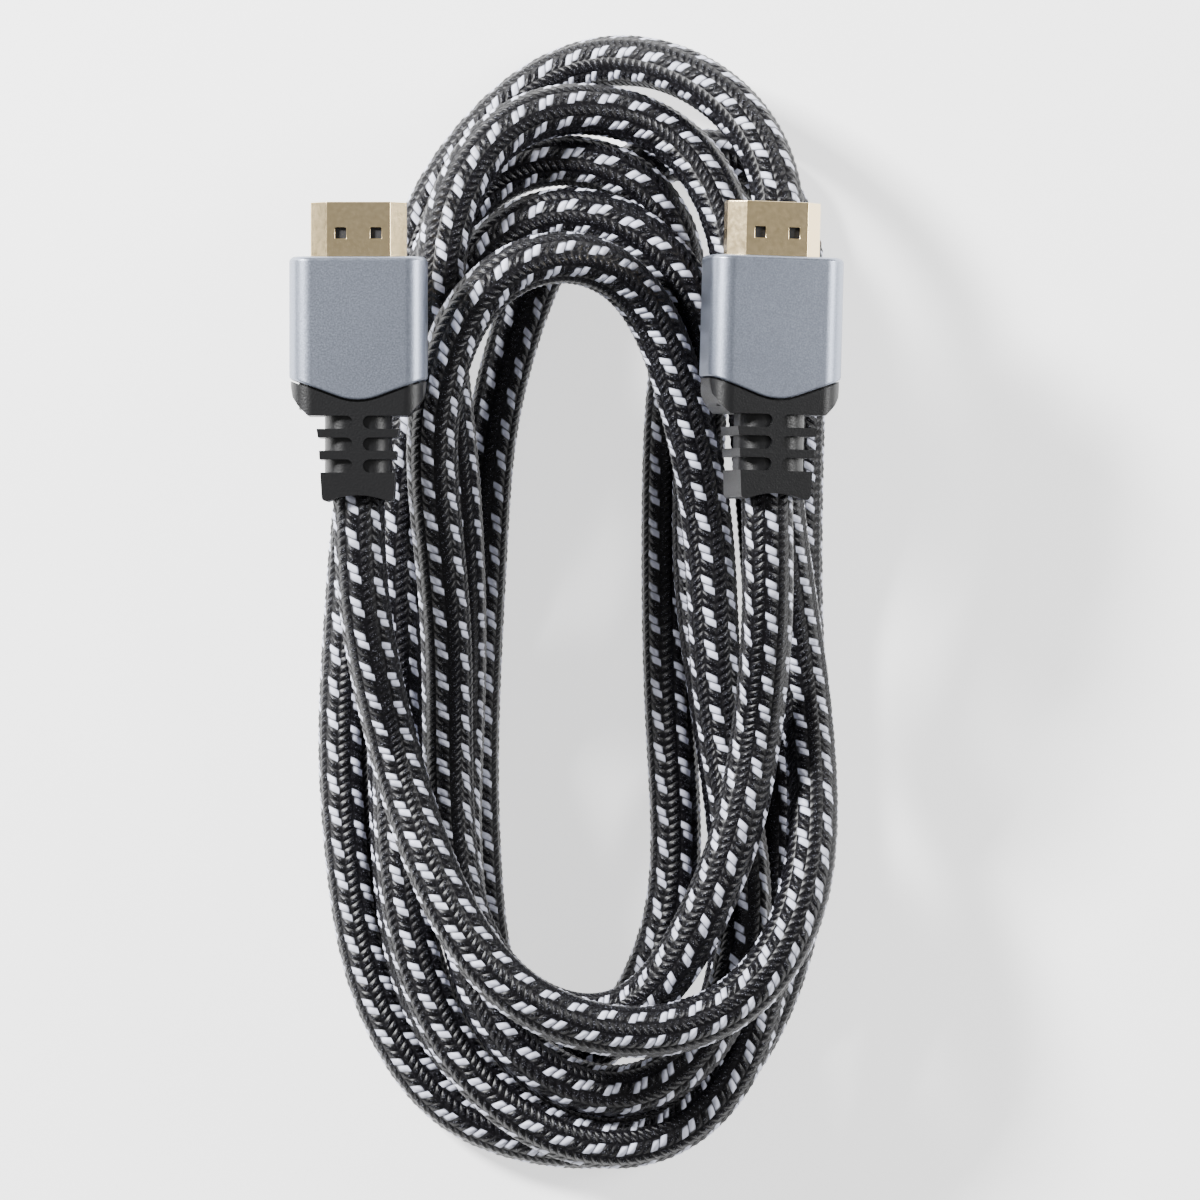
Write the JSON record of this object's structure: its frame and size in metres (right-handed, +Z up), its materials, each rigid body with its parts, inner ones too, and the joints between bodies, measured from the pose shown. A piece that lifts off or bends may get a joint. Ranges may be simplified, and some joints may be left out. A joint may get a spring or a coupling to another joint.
{
  "type": "hdmi cable",
  "caption": "Braided audio and video cable lying in a loose pile of loops, with a gilded flat plug, an aluminium housing and a vented strain relief at each end",
  "frame": {"origin": "on the table, under the middle of the pile", "axes": "+Z up, +Y the long way of the pile, towards the plugs' tips, +X to the right plug"},
  "size_m": [0.0804, 0.1689, 0.0485],
  "materials": {
    "braid": "black braid with pale tracer threads",
    "gilt": "gold plate, satin",
    "insert": "moulded, matte",
    "housing": "blasted and anodised grey",
    "moulding": "moulded, fine grain"
  },
  "bodies": {
    "root": {"braided_cable": "braid", "left_plug_shell": "gilt", "left_contact_block": "insert", "left_housing": "housing", "left_strain_relief": "moulding", "right_plug_shell": "gilt", "right_contact_block": "insert", "right_housing": "housing", "right_strain_relief": "moulding"}
  },
  "joints": []
}
